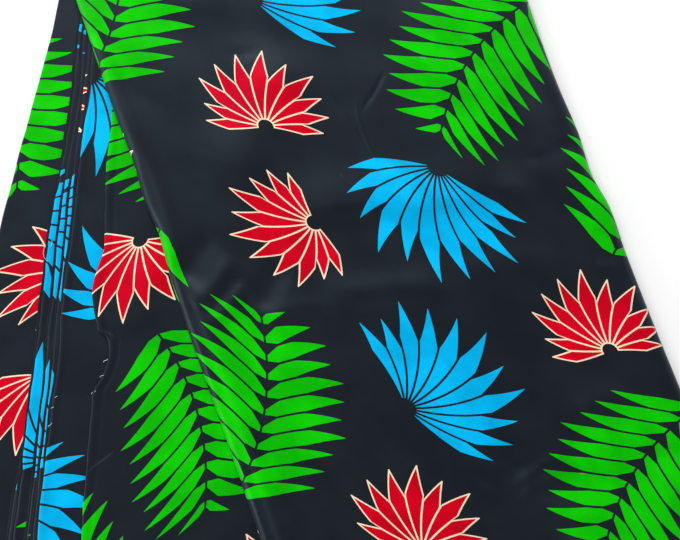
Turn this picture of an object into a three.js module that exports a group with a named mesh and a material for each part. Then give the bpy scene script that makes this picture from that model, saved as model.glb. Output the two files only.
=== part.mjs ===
// Six yards of wax print cotton, folded into a long flat pack and laid over itself as an inverted
// V. The left leg lies on the table, the pack turns over at the top fold, and the right leg comes
// down across the left one. Millimetres, +Z up, the underside on Z = 0.
import * as THREE from 'three';

// Driving dimensions of the cloth and of its pack, in millimetres and degrees.
const CLOTH_WIDTH = 1194;
const CLOTH_LENGTH = 5486;
const WIDTH_FOLDS = 3;
const LENGTH_FOLDS = 4;
const PACK_WIDTH = CLOTH_WIDTH / WIDTH_FOLDS;
const PACK_LENGTH = CLOTH_LENGTH / LENGTH_FOLDS;
const WALL = 1.1;
const GAP = 0.3;
const PITCH = WALL + GAP;
const LEFT_LEAN = 12.2;
const RIGHT_LEAN = 20.2;

// The fold line of the top fold rises to the right by half the difference of the two leans, and
// each leg leaves it at half their sum.
const FOLD_RISE = THREE.MathUtils.degToRad((RIGHT_LEAN - LEFT_LEAN) / 2);
const HALF_SPREAD = THREE.MathUtils.degToRad((RIGHT_LEAN + LEFT_LEAN) / 2);

// Folded layers of the left leg, from the table up. A row gives how far the layer's left edge
// stands in from the pack's left edge at each depth below the top fold.
const EDGE_DEPTHS = [0, 60, 120, 180, 240, 300, 330, 360, 420, 480, 540, 600, 660, 720];
const LEFT_LAYERS = [
  { node: 'under_panel', edge: [0, 1, 1, 0, 0, 0, 0, 0, -1, -1, 0, 0, 1, 1] },
  { node: 'layer_1', edge: [22, 30, 39, 45, 49, 57, 60, 64, 71, 74, 80, 87, 94, 101] },
  { node: 'layer_2', edge: [20, 27, 36, 42, 46, 54, 58, 62, 69, 78, 85, 92, 99, 107] },
  { node: 'layer_3', edge: [24, 32, 42, 47, 54, 63, 67, 72, 81, 89, 97, 105, 114, 122] },
  { node: 'layer_4', edge: [28, 37, 46, 53, 61, 69, 73, 78, 86, 94, 103, 111, 119, 128] },
  { node: 'middle_panel', edge: [33, 42, 51, 58, 66, 73, 77, 83, 90, 98, 107, 115, 123, 131] },
  { node: 'upper_panel', edge: [51, 62, 73, 83, 93, 100, 107, 126, 125, 132, 148, 157, 167, 178] },
];

// Each layer stops short of the one below it at the right side and at the bottom end.
const RIGHT_STEPS = [0, 3, 1, 5, 2, 6, 4];
const BOTTOM_STEPS = [0, 7, 3, 10, 5, 12, 8];

// The right leg's hidden layers, from the lowest up, stop short in the same way.
const CORE_LAYERS = [
  { left: 6, right: 5, bottom: 9 },
  { left: 3.5, right: 3, bottom: 4 },
  { left: 5, right: 4.5, bottom: 11 },
  { left: 6.3, right: 6.5, bottom: 6 },
];

// The side edges of the right leg wander a little. A row is a depth below the top fold and how
// far each edge stands to the right of its straight line there.
const SIDE_EDGES = [
  { depth: 0, left: 2, right: 2 },
  { depth: 50, left: 2, right: 3 },
  { depth: 145, left: 1, right: 1 },
  { depth: 190, left: 2, right: 2 },
  { depth: 232, left: 0, right: -1 },
  { depth: 260, left: 2, right: 3 },
  { depth: 300, left: -1, right: 1 },
  { depth: 350, left: -2, right: 0 },
  { depth: 440, left: -2, right: 0 },
  { depth: 560, left: -3, right: 1 },
  { depth: 720, left: -2, right: 0 },
];

// Soft folds raised in the top sheet. Each runs between two places, given by the distance across
// the leg and the depth below the top fold.
const SOFT_FOLDS = [
  { from: [26, 175], to: [28, 350], height: 1.6, width: 16 },
  { from: [204, 145], to: [238, 235], height: 1.8, width: 14 },
  { from: [30, 395], to: [150, 330], height: 1.5, width: 22 },
  { from: [345, 205], to: [392, 178], height: 1.4, width: 16 },
  { from: [215, 560], to: [372, 470], height: 1.5, width: 30 },
];

// Shape of the top sheet's rolled side edges and of the slope beside the left leg.
const ROLL_REACH = 7;
const ROLL_DROP = 6.5;
const ROLL_TURN = THREE.MathUtils.degToRad(112);
const ROLL_STEPS = 4;
const SLOPE_START = 22;
const SLOPE_LEAST = 45;
const SLOPE_MOST = 110;
const SLOPE_RATE = 0.5;

const LEFT_STACK = LEFT_LAYERS.length * PITCH - GAP;
const RIGHT_BASE = LEFT_STACK + GAP;
const PACK_HEIGHT = LEFT_STACK;
const CORE_HEIGHT = PACK_HEIGHT - PITCH;
const LEFT_EDGE_LENGTH = PACK_LENGTH / 2 - PACK_WIDTH / 2 * Math.tan(HALF_SPREAD);
const RIGHT_EDGE_LENGTH = PACK_LENGTH / 2 + PACK_WIDTH / 2 * Math.tan(HALF_SPREAD);

function smoothStep(low, high, value) {
  const share = THREE.MathUtils.clamp((value - low) / (high - low), 0, 1);
  return share * share * (3 - 2 * share);
}

// Value of a table column at a depth, with straight lines between its rows.
function between(depths, values, depth) {
  const last = depths.length - 1;
  if (depth <= depths[0]) return values[0];
  if (depth >= depths[last]) return values[last];
  const above = depths.findIndex((row) => row > depth);
  const share = (depth - depths[above - 1]) / (depths[above] - depths[above - 1]);
  return THREE.MathUtils.lerp(values[above - 1], values[above], share);
}

const layerEdge = (layer, depth) => between(EDGE_DEPTHS, layer.edge, depth);
const sideShift = (side, depth) =>
  between(SIDE_EDGES.map((row) => row.depth), SIDE_EDGES.map((row) => row[side]), depth);

// Depth at which a leg ends, square to its own side edges.
const leftEnd = (across) =>
  LEFT_EDGE_LENGTH * Math.cos(HALF_SPREAD) + across * Math.sin(HALF_SPREAD);
const rightEnd = (across) =>
  RIGHT_EDGE_LENGTH * Math.cos(HALF_SPREAD) - across * Math.sin(HALF_SPREAD);

// Places along the fold line for a distance across each leg and a depth below the fold.
const alongLeft = (across, depth) =>
  across / Math.cos(HALF_SPREAD) - depth * Math.tan(HALF_SPREAD);
const alongRight = (across, depth) =>
  across / Math.cos(HALF_SPREAD) + depth * Math.tan(HALF_SPREAD);
const acrossLeft = (along, depth) =>
  (along + depth * Math.tan(HALF_SPREAD)) * Math.cos(HALF_SPREAD);

// Height of the right leg's underside: on the left leg's layers, down a long slope beside them,
// and on the table.
function baseHeight(along, depth) {
  const across = acrossLeft(along, depth);
  const slope = THREE.MathUtils.clamp(depth * SLOPE_RATE, SLOPE_LEAST, SLOPE_MOST);
  const past = PACK_WIDTH + SLOPE_START;
  return RIGHT_BASE * (1 - smoothStep(past, past + slope, across));
}

function foldRise(across, depth) {
  let rise = 0;
  for (const fold of SOFT_FOLDS) {
    const start = new THREE.Vector2(...fold.from);
    const run = new THREE.Vector2(...fold.to).sub(start);
    const away = new THREE.Vector2(across, depth).sub(start);
    const share = THREE.MathUtils.clamp(away.dot(run) / run.lengthSq(), 0, 1);
    const reach = away.sub(run.multiplyScalar(share)).length() / fold.width;
    rise = Math.max(rise, fold.height * Math.exp(-reach * reach));
  }
  return rise;
}

// A point of the right leg, at a full turn, or of the top fold before it. No turn is where the
// pack leaves the left leg. Level is the height inside the pack, from its inmost face out.
function packPoint(across, depth, level, turn) {
  if (turn === Math.PI) {
    const along = alongRight(across, depth);
    return new THREE.Vector3(along, -depth, baseHeight(along, depth) + level);
  }
  const radius = level + GAP / 2;
  const along = across / Math.cos(HALF_SPREAD);
  const height = LEFT_STACK + GAP / 2 - radius * Math.cos(turn);
  return new THREE.Vector3(along, radius * Math.sin(turn), height);
}

// A closed body with the outer faces of a lattice of counts [a, b, c] cells. Place gives the
// point of a lattice corner, and keeps the lattice right-handed so that the faces point out.
function latticeBody(counts, place) {
  const corners = [];
  const numbers = new Map();
  const triangles = [];
  const corner = (steps) => {
    const key = steps.join(',');
    if (!numbers.has(key)) {
      numbers.set(key, corners.length);
      corners.push(place(...steps));
    }
    return numbers.get(key);
  };
  for (let axis = 0; axis < 3; axis += 1) {
    const first = (axis + 1) % 3;
    const second = (axis + 2) % 3;
    for (const side of [0, counts[axis]]) {
      for (let i = 0; i < counts[first]; i += 1) {
        for (let j = 0; j < counts[second]; j += 1) {
          const at = (di, dj) => {
            const steps = [0, 0, 0];
            steps[axis] = side;
            steps[first] = i + di;
            steps[second] = j + dj;
            return corner(steps);
          };
          const near = side === 0 ? at(0, 1) : at(1, 0);
          const far = side === 0 ? at(1, 0) : at(0, 1);
          triangles.push(at(0, 0), near, at(1, 1), at(0, 0), at(1, 1), far);
        }
      }
    }
  }
  const geometry = new THREE.BufferGeometry();
  const positions = corners.flatMap((point) => [point.x, point.y, point.z]);
  geometry.setAttribute('position', new THREE.Float32BufferAttribute(positions, 3));
  geometry.setIndex(triangles);
  geometry.computeVertexNormals();
  return geometry;
}

// Levels of a wall with a rounded edge, and how far the edge draws in at each.
const ROUND_EDGE = [
  { level: 0, inset: 0.45 },
  { level: 0.3, inset: 0.05 },
  { level: 0.7, inset: 0 },
  { level: 1, inset: 0.4 },
];

// One folded layer of the left leg, a thin wall from its own left edge to the right side. Its
// bottom end is square to the leg, so the end's depth is found from the place across, and back.
const LAYER_ROWS = 18;
const LAYER_COLUMNS = 3;
const END_PASSES = 4;
function leftLayer(index) {
  const layer = LEFT_LAYERS[index];
  const counts = [LAYER_ROWS, LAYER_COLUMNS, ROUND_EDGE.length - 1];
  return latticeBody(counts, (row, column, round) => {
    const { level, inset } = ROUND_EDGE[round];
    const right = PACK_WIDTH - RIGHT_STEPS[index] - inset * WALL;
    const acrossAt = (depth) =>
      THREE.MathUtils.lerp(layerEdge(layer, depth) + inset * WALL, right, column / LAYER_COLUMNS);
    let end = leftEnd(0);
    for (let pass = 0; pass < END_PASSES; pass += 1) end = leftEnd(acrossAt(end));
    end -= BOTTOM_STEPS[index] + inset * WALL;
    const depth = THREE.MathUtils.lerp(GAP, end, row / LAYER_ROWS);
    const across = acrossAt(depth);
    return new THREE.Vector3(alongLeft(across, depth), -depth, index * PITCH + level * WALL);
  });
}

// Places along the right leg and across its flat part, which the top sheet and the layers under
// it share. The first rows turn round the top fold.
const TURN_ROWS = 6;
const LEG_ROWS = 26;
const PACK_ROWS = TURN_ROWS + LEG_ROWS;
const FLAT_COLUMNS = 18;
const packTurn = (row) => Math.PI * Math.min(row / TURN_ROWS, 1);
const packDepth = (row, share) =>
  rightEnd(PACK_WIDTH * share) * Math.max(row - TURN_ROWS, 0) / LEG_ROWS;
const flatAcross = (share, depth) =>
  THREE.MathUtils.lerp(
    ROLL_REACH + sideShift('left', depth),
    PACK_WIDTH - ROLL_REACH + sideShift('right', depth),
    share,
  );

// The hidden layers of the right leg and the top fold, one solid with a groove between layers.
const GROOVE_DEPTH = 3;
const GROOVE_WIDTH = 0.3;
const EDGE_ROUND = 0.5;
function coreProfile() {
  const wall = CORE_HEIGHT / CORE_LAYERS.length;
  const profile = [];
  CORE_LAYERS.forEach((layer, index) => {
    const low = index * wall + (index > 0 ? GROOVE_WIDTH / 2 : 0);
    const high = (index + 1) * wall - (index < CORE_LAYERS.length - 1 ? GROOVE_WIDTH / 2 : 0);
    if (index > 0) profile.push({ level: index * wall, layer, draw: GROOVE_DEPTH });
    profile.push({ level: low, layer, draw: EDGE_ROUND });
    profile.push({ level: (low + high) / 2, layer, draw: 0 });
    profile.push({ level: high, layer, draw: EDGE_ROUND });
  });
  return profile;
}

function foldedCore() {
  const profile = coreProfile();
  const columns = FLAT_COLUMNS + 2;
  return latticeBody([PACK_ROWS, columns, profile.length - 1], (row, column, place) => {
    const { level, layer, draw } = profile[place];
    const share = THREE.MathUtils.clamp((column - 1) / FLAT_COLUMNS, 0, 1);
    const atEnd = row === PACK_ROWS ? layer.bottom + draw : 0;
    const depth = packDepth(row, share) - atEnd;
    let across = flatAcross(share, depth);
    if (column === 0) across += layer.left + draw - ROLL_REACH;
    if (column === columns) across -= layer.right + draw - ROLL_REACH;
    return packPoint(across, depth, level, packTurn(row));
  });
}

// The top sheet of the right leg, rolled down at both sides and carried round the top fold.
function frontPanel() {
  const columns = FLAT_COLUMNS + 2 * ROLL_STEPS;
  return latticeBody([PACK_ROWS, columns, 1], (row, column, outside) => {
    const share = THREE.MathUtils.clamp((column - ROLL_STEPS) / FLAT_COLUMNS, 0, 1);
    const depth = packDepth(row, share);
    const steps = Math.max(ROLL_STEPS - column, column - ROLL_STEPS - FLAT_COLUMNS, 0);
    const angle = ROLL_TURN * steps / ROLL_STEPS;
    const side = share < 0.5 ? -1 : 1;
    const thinner = (1 - outside) * WALL;
    const across = flatAcross(share, depth) + side * (ROLL_REACH - thinner) * Math.sin(angle);
    const level = PACK_HEIGHT - ROLL_DROP + (ROLL_DROP - thinner) * Math.cos(angle);
    const point = packPoint(across, depth, level, packTurn(row));
    if (row > TURN_ROWS) point.z += foldRise(across, depth);
    return point;
  });
}

function clothMesh(name, geometry, colour, roughness) {
  const material = new THREE.MeshStandardMaterial({ color: colour, roughness, metalness: 0 });
  const mesh = new THREE.Mesh(geometry, material);
  mesh.name = name;
  return mesh;
}

const GROUND_COLOUR = 0x22252d;
const EDGE_COLOUR = 0x1b1d23;

const pack = new THREE.Group();
pack.add(clothMesh('front_panel', frontPanel(), GROUND_COLOUR, 0.62));
pack.add(clothMesh('folded_core', foldedCore(), EDGE_COLOUR, 0.7));
LEFT_LAYERS.forEach((layer, index) => {
  pack.add(clothMesh(layer.node, leftLayer(index), GROUND_COLOUR, 0.65));
});
pack.rotation.z = FOLD_RISE;

// The part's origin is under the middle of its outline.
const fabric = new THREE.Group();
fabric.add(pack);
const outline = new THREE.Box3().setFromObject(fabric, true);
const middle = outline.getCenter(new THREE.Vector3());
pack.position.set(-middle.x, -middle.y, -outline.min.z);

export default fabric;
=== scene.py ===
"""Six yards of wax print cotton, folded into a long flat pack and laid as an inverted V.

The left leg lies on the table, the pack turns over at the top fold, and the right leg comes down
across the left one. Shapes are worked out in millimetres in the pack's own frame, where X runs
along the top fold and Y away from it, and are then turned and moved into the part's frame.
"""

import logging
import math
from dataclasses import dataclass, replace
from enum import Enum

import bpy
import numpy as np
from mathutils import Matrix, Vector

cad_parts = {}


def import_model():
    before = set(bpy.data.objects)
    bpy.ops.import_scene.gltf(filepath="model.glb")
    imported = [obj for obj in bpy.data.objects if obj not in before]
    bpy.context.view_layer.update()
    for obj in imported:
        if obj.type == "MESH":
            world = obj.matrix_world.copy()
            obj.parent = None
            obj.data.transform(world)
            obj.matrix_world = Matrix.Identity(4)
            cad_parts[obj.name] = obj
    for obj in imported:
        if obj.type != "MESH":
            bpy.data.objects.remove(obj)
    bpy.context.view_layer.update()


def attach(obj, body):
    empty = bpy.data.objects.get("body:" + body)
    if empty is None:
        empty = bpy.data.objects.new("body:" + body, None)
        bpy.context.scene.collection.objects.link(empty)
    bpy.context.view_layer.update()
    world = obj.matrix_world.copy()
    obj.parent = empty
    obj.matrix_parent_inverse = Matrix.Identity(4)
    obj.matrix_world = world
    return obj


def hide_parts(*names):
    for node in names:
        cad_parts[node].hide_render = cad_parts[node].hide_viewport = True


LOG = logging.getLogger("wax_print")
MM = 0.001
PER_METRE = 1000.0

# The cloth's own map, and the attribute that marks the lips below the folds, which take a painted
# shade.
CLOTH_MAP = "Cloth"
BORDER = "lip_shade"

# How finely the paces are summed, and how often a slanting end is worked out anew.
PACE_SAMPLES = 4001
END_ROUNDS = 4

# The angle round the top fold past which a point lies on the right leg.
LEG_TURN = math.pi - 1e-9

# Where the camera looks, in millimetres from the left end of the top fold.
AIM = (261.47, -286.62, 9.0)

# Sockets of a mix node of colours.
MIX_SHARE = 0
MIX_UNDER = 6
MIX_OVER = 7
MIX_RESULT = 2

Grid = np.ndarray
Rows = tuple[tuple[float, float, float], ...]


def paced(low: float, high: float, step: float, finer: Rows = ()) -> Grid:
    """Lists places a step apart, closer together within some spans.

    Args:
        low: First place.
        high: Last place.
        step: Distance between places outside the spans.
        finer: Spans as (start, stop, step).

    Returns:
        The places, in rising order.
    """
    places = np.linspace(low, high, PACE_SAMPLES)
    rate = np.full(places.shape, 1.0 / step)
    for start, stop, close in finer:
        rate = np.where((places > start) & (places < stop), 1.0 / close, rate)
    parts = (rate[1:] + rate[:-1]) / 2 * np.diff(places)
    count = np.concatenate([[0.0], np.cumsum(parts)])
    total = math.ceil(count[-1])
    return np.interp(np.linspace(0, count[-1], total + 1), count, places)


def smooth_step(low: float | Grid, high: float | Grid, value: Grid) -> Grid:
    """Eases from 0 at low to 1 at high."""
    share = np.clip((value - low) / (high - low), 0, 1)
    return share * share * (3 - 2 * share)


def hump(value: Grid, middle: float, width: float) -> Grid:
    """A smooth hump, 1 high at its middle."""
    return np.exp(-(((value - middle) / width) ** 2))


def leg_rows(turn_rows: int, down: Grid) -> tuple[Grid, Grid]:
    """Lists the rows of a sheet that goes round the top fold and down the right leg.

    Args:
        turn_rows: How many rows lie on the fold.
        down: Shares of the leg's length at which the further rows lie.

    Returns:
        For each row the angle round the fold, and the share of the leg's length.
    """
    turns = math.pi * np.arange(turn_rows) / turn_rows
    turn = np.concatenate([turns, np.full(len(down), math.pi)])
    run = np.concatenate([np.zeros(turn_rows), down])
    return turn[:, None], run[:, None]


def select_only(piece: bpy.types.Object) -> None:
    """Selects one object and makes it the active one.

    Args:
        piece: The object.
    """
    for other in bpy.context.selected_objects:
        other.select_set(False)
    bpy.context.view_layer.objects.active = piece
    piece.select_set(True)


@dataclass(frozen=True)
class Table:
    """A value for each depth, with a smooth line through its rows."""

    depths: tuple[float, ...]
    values: tuple[float, ...]

    def at(self, depth: Grid) -> Grid:
        """Reads the smooth line.

        Args:
            depth: Depths below the top fold.

        Returns:
            The value at each depth.
        """
        x = np.array(self.depths)
        y = np.array(self.values)
        slope = np.gradient(y, x)
        depth = np.clip(depth, x[0], x[-1])
        row = np.clip(np.searchsorted(x, depth) - 1, 0, len(x) - 2)
        width = x[row + 1] - x[row]
        t = (depth - x[row]) / width
        start = (1 + 2 * t) * (1 - t) ** 2 * y[row] + t * (1 - t) ** 2 * width * slope[row]
        stop = t * t * (3 - 2 * t) * y[row + 1] + t * t * (t - 1) * width * slope[row + 1]
        return start + stop


@dataclass(frozen=True)
class Wander:
    """A gentle unevenness, summed from a few waves of random lie and length."""

    seed: int
    height: float
    shortest: float
    longest: float
    waves: int = 9

    def at(self, across: Grid, depth: Grid) -> Grid:
        """Reads the unevenness.

        Args:
            across: Places across the cloth.
            depth: Places along it.

        Returns:
            A height at each place, mostly within plus and minus the wander's height.
        """
        random = np.random.default_rng(self.seed)
        total = np.zeros(np.broadcast(across, depth).shape)
        for _ in range(self.waves):
            lie, phase = random.uniform(0, 2 * math.pi, 2)
            length = random.uniform(self.shortest, self.longest)
            run = across * math.cos(lie) + depth * math.sin(lie)
            total = total + np.sin(2 * math.pi * run / length + phase)
        return total * self.height / math.sqrt(self.waves)


@dataclass(frozen=True)
class Crease:
    """A soft ridge or trough along a bent line on one leg of the pack.

    The path's points are distances across the leg and depths below the top fold. A height below 0
    makes a trough. Fade is the share of the length over which each end dies away, and lean makes
    one flank steeper than the other.
    """

    path: tuple[tuple[float, float], ...]
    height: float
    width: float
    fade: float = 0.3
    lean: float = 0.0

    def at(self, across: Grid, depth: Grid) -> Grid:
        """Reads the crease.

        Args:
            across: Distances across the leg.
            depth: Depths below the top fold.

        Returns:
            The height of the crease at each place.
        """
        points = [np.array(point, float) for point in self.path]
        lengths = [float(np.linalg.norm(b - a)) for a, b in zip(points, points[1:])]
        whole = sum(lengths)
        nearest = np.full(np.broadcast(across, depth).shape, np.inf)
        offset = np.zeros(nearest.shape)
        reached = np.zeros(nearest.shape)
        before = 0.0
        for a, b, length in zip(points, points[1:], lengths):
            run = (b - a) / length
            along = (across - a[0]) * run[0] + (depth - a[1]) * run[1]
            along = np.clip(along, 0, length)
            away_x = across - a[0] - along * run[0]
            away_y = depth - a[1] - along * run[1]
            away = np.hypot(away_x, away_y)
            closer = away < nearest
            nearest = np.where(closer, away, nearest)
            side = np.sign(away_x * run[1] - away_y * run[0])
            offset = np.where(closer, away * side, offset)
            reached = np.where(closer, before + along, reached)
            before += length
        ends = smooth_step(0, self.fade * whole, np.minimum(reached, whole - reached))
        reach = nearest / self.width
        if self.lean:
            reach = np.where(offset > 0, reach * (1 + self.lean), reach / (1 + self.lean))
        return self.height * np.exp(-reach * reach) * ends


@dataclass(frozen=True)
class FoldedPack:
    """Sizes of the folded cloth in millimetres, and the places of its two legs.

    Each leg leans by its own angle, in degrees. The right leg slopes down beside the left one from
    slope_start past its right side, over a span that grows with the depth below the top fold.
    """

    cloth_width: float = 1194.0
    cloth_length: float = 5486.0
    width_folds: int = 3
    length_folds: int = 4
    wall: float = 1.1
    gap: float = 0.3
    left_layers: int = 7
    left_lean: float = 12.2
    right_lean: float = 20.2
    slope_start: float = 22.0
    slope_least: float = 45.0
    slope_most: float = 110.0
    slope_rate: float = 0.5
    origin: tuple[float, float] = (-249.171, 329.901)

    @property
    def width(self) -> float:
        """Width of the folded pack."""
        return self.cloth_width / self.width_folds

    @property
    def length(self) -> float:
        """Length of the folded pack, round its top fold."""
        return self.cloth_length / self.length_folds

    @property
    def pitch(self) -> float:
        """Height from one layer of the left leg to the next."""
        return self.wall + self.gap

    @property
    def rise(self) -> float:
        """Turn of the fold line, in radians."""
        return math.radians((self.right_lean - self.left_lean) / 2)

    @property
    def spread(self) -> float:
        """Turn of each leg from the square of the fold line, in radians."""
        return math.radians((self.right_lean + self.left_lean) / 2)

    @property
    def stack(self) -> float:
        """Height of the left leg's layers, and of the pack."""
        return self.left_layers * self.pitch - self.gap

    def left_end(self, across: Grid) -> Grid:
        """Depth at which the left leg ends, square to its own sides."""
        least = self.length / 2 - self.width / 2 * math.tan(self.spread)
        return least * math.cos(self.spread) + across * math.sin(self.spread)

    def right_end(self, across: Grid) -> Grid:
        """Depth at which the right leg ends, square to its own sides."""
        most = self.length / 2 + self.width / 2 * math.tan(self.spread)
        return most * math.cos(self.spread) - across * math.sin(self.spread)

    def left_leg(self, across: Grid, depth: Grid, height: Grid) -> Grid:
        """Places points of the left leg.

        Args:
            across: Distances from the pack's left side.
            depth: Depths below the top fold.
            height: Heights above the table.

        Returns:
            Points in the pack's frame, with a last axis of three.
        """
        along = across / math.cos(self.spread) - depth * math.tan(self.spread)
        return np.stack(np.broadcast_arrays(along, -depth, height), axis=-1)

    def base(self, along: Grid, depth: Grid) -> Grid:
        """Finds the right leg's underside, on the left leg and down beside it.

        Args:
            along: Distances along the top fold.
            depth: Depths below it.

        Returns:
            Heights above the table.
        """
        across = (along + depth * math.tan(self.spread)) * math.cos(self.spread)
        slope = np.clip(depth * self.slope_rate, self.slope_least, self.slope_most)
        past = self.width + self.slope_start
        return (self.stack + self.gap) * (1 - smooth_step(past, past + slope, across))

    def right_leg(self, across: Grid, depth: Grid, level: Grid, turn: Grid) -> Grid:
        """Places points of the right leg, or of the top fold before it.

        Args:
            across: Distances from the pack's left side.
            depth: Depths below the top fold, past the turn.
            level: Heights inside the pack, from its inmost face out.
            turn: Angles round the top fold, pi on the leg itself.

        Returns:
            Points in the pack's frame, with a last axis of three.
        """
        across, depth, level, turn = np.broadcast_arrays(across, depth, level, turn)
        straight = across / math.cos(self.spread)
        along = straight + depth * math.tan(self.spread)
        leg = np.stack([along, -depth, self.base(along, depth) + level], axis=-1)
        radius = level + self.gap / 2
        middle = self.stack + self.gap / 2
        parts = [straight, radius * np.sin(turn), middle - radius * np.cos(turn)]
        fold = np.stack(parts, axis=-1)
        return np.where((turn >= LEG_TURN)[..., None], leg, fold)

    def to_part(self, points: Grid) -> Grid:
        """Turns and moves points into the part's frame.

        Args:
            points: Points in the pack's frame, in millimetres.

        Returns:
            The same points in the part's frame, in metres.
        """
        x = points[..., 0] * math.cos(self.rise) - points[..., 1] * math.sin(self.rise)
        y = points[..., 0] * math.sin(self.rise) + points[..., 1] * math.cos(self.rise)
        parts = [x + self.origin[0], y + self.origin[1], points[..., 2]]
        return np.stack(parts, axis=-1) * MM


def cloth_object(
    name: str,
    points: Grid,
    places: Grid,
    thickness: float,
    offset: float,
    lip_shade: Grid | None = None,
) -> bpy.types.Object:
    """Makes a thin sheet of cloth from a grid of points.

    Args:
        name: Name of the piece.
        points: Points in the part's frame, rows by columns by three.
        places: The same points' places on the flat cloth, in metres.
        thickness: Thickness of the sheet in metres.
        offset: Side that the thickness grows to, from -1 inwards to 1 outwards.
        lip_shade: How far each point lies in a lip that takes a painted shade, from 0 to 1.

    Returns:
        The new object, at the origin, with its place in its mesh.
    """
    rows, columns = points.shape[:2]
    index = np.arange(rows * columns).reshape(rows, columns)
    corners = [index[:-1, :-1], index[1:, :-1], index[1:, 1:], index[:-1, 1:]]
    quads = np.stack(corners, axis=-1).reshape(-1, 4)
    mesh = bpy.data.meshes.new(name)
    mesh.vertices.add(rows * columns)
    mesh.vertices.foreach_set("co", points.reshape(-1).astype(np.float32))
    mesh.loops.add(quads.size)
    mesh.loops.foreach_set("vertex_index", quads.reshape(-1).astype(np.int32))
    mesh.polygons.add(len(quads))
    mesh.polygons.foreach_set("loop_start", np.arange(0, quads.size, 4, dtype=np.int32))
    mesh.update(calc_edges=True)
    layer = mesh.uv_layers.new(name=CLOTH_MAP)
    spread = places.reshape(-1, 2)[quads.reshape(-1)]
    layer.uv.foreach_set("vector", spread.reshape(-1).astype(np.float32))
    mesh.polygons.foreach_set("use_smooth", np.ones(len(quads), dtype=bool))
    # Marks the lips below the folds, which the material paints with shade darker than the ground.
    if lip_shade is not None:
        edge = mesh.attributes.new(BORDER, "FLOAT", "POINT")
        edge.data.foreach_set("value", lip_shade.reshape(-1).astype(np.float32))
    mesh.validate()
    piece = bpy.data.objects.new(name, mesh)
    bpy.context.scene.collection.objects.link(piece)
    wall = piece.modifiers.new("Wall", "SOLIDIFY")
    wall.thickness = thickness
    wall.offset = offset
    wall.use_even_offset = False
    select_only(piece)
    bpy.ops.object.modifier_apply(modifier=wall.name)
    piece.select_set(False)
    return piece


def dress(piece: bpy.types.Object, material: bpy.types.Material, nodes: tuple[str, ...]) -> None:
    """Gives a piece its finish and its body, and hides the solids that it stands for.

    Args:
        piece: The piece.
        material: Its material.
        nodes: Names of the solids that it replaces, none for the stray yarn.
    """
    piece.data.materials.append(material)
    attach(piece, "root")
    if nodes:
        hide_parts(*nodes)


EDGE_FOLDS = (
    Crease(
        ((13, 30), (11, 119), (14, 168), (17, 200), (17, 230), (15, 262), (14, 292)), 2.0, 6.5, 0.1
    ),
    Crease(
        ((14, 300), (15, 330), (17, 393), (16, 438), (16, 500), (15, 600), (16, 700)),
        2.8,
        8,
        0.06,
        -0.3,
    ),
    Crease(((391, 205), (388, 224), (388, 244)), 1.2, 3.5, 0.35),
    Crease(((363, 323), (373, 318), (386, 316)), 1.3, 5, 0.35),
)

CORNER_FOLDS = (
    Crease(((52, 262), (28, 284), (4, 307)), -2.5, 10, 0.25),
    Crease(((62, 284), (37, 311), (9, 334)), 2.1, 7, 0.3),
    Crease(((66, 310), (42, 331), (14, 352)), 2.6, 6, 0.25),
    Crease(((104, 292), (82, 315), (60, 338)), -3.6, 9, 0.25),
    Crease(((66, 350), (86, 340), (106, 336), (128, 340), (148, 345)), 1.3, 8, 0.25),
)

BROAD_FOLDS = (
    Crease(((169, 80), (150, 134), (117, 171), (92, 203), (76, 244)), 5.2, 32, 0.3),
    Crease(((110, 250), (170, 246), (235, 246), (300, 240), (350, 232)), 6.0, 24, 0.22, -0.4),
    Crease(((112, 334), (143, 330), (192, 328), (244, 327)), 3.4, 15, 0.3),
    Crease(((232, 322), (274, 314), (308, 306), (348, 296)), 3.2, 16, 0.35, 0.1),
    Crease(((330, 116), (350, 158), (366, 200)), 1.8, 22, 0.35),
    Crease(((306, 40), (306, 120), (302, 220)), 4.6, 44, 0.3),
    Crease(((338, 222), (366, 211), (396, 197)), -2.0, 7, 0.3),
    Crease(((190, 508), (221, 495), (252, 480)), -2.4, 12, 0.3),
    Crease(((218, 517), (249, 499), (278, 484)), 2.6, 7, 0.3),
    Crease(((232, 524), (262, 511), (296, 495)), -2.0, 11, 0.3),
    Crease(((240, 557), (275, 541), (308, 523)), 3.6, 15, 0.3),
    Crease(((378, 500), (362, 525), (340, 560)), 3.8, 18, 0.3),
    Crease(((285, 455), (320, 443), (356, 430)), 2.6, 12, 0.35),
    Crease(((20, 470), (62, 452), (120, 462)), 3.0, 18, 0.35),
    Crease(((300, 372), (352, 388), (394, 384)), 2.4, 18, 0.35),
    Crease(((40, 610), (120, 590), (190, 604)), 3.4, 20, 0.35),
    Crease(((230, 640), (300, 618), (380, 626)), 3.0, 18, 0.35),
    Crease(((40, 30), (90, 44), (150, 36)), 2.0, 20, 0.35),
)

FINE_CREASES = (
    Crease(((251, 120), (236, 139), (222, 153), (214, 163)), -0.55, 2.0, 0.3),
    Crease(
        ((194, 136), (199, 153), (203, 166), (206, 177), (208, 190), (210, 206)), -0.5, 1.5, 0.25
    ),
    Crease(((215, 145), (211, 162), (210, 176), (210, 192), (211, 217)), 0.5, 1.4, 0.25),
    Crease(((176, 216), (179, 226), (185, 236)), 0.4, 1.5, 0.3),
    Crease(((139, 40), (138, 55), (136, 70)), 0.3, 1.7, 0.3),
    Crease(((313, 62), (309, 77), (305, 92)), 0.3, 1.7, 0.3),
    Crease(((112, 101), (132, 97), (152, 92)), -0.5, 4.0, 0.35),
)

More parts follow.
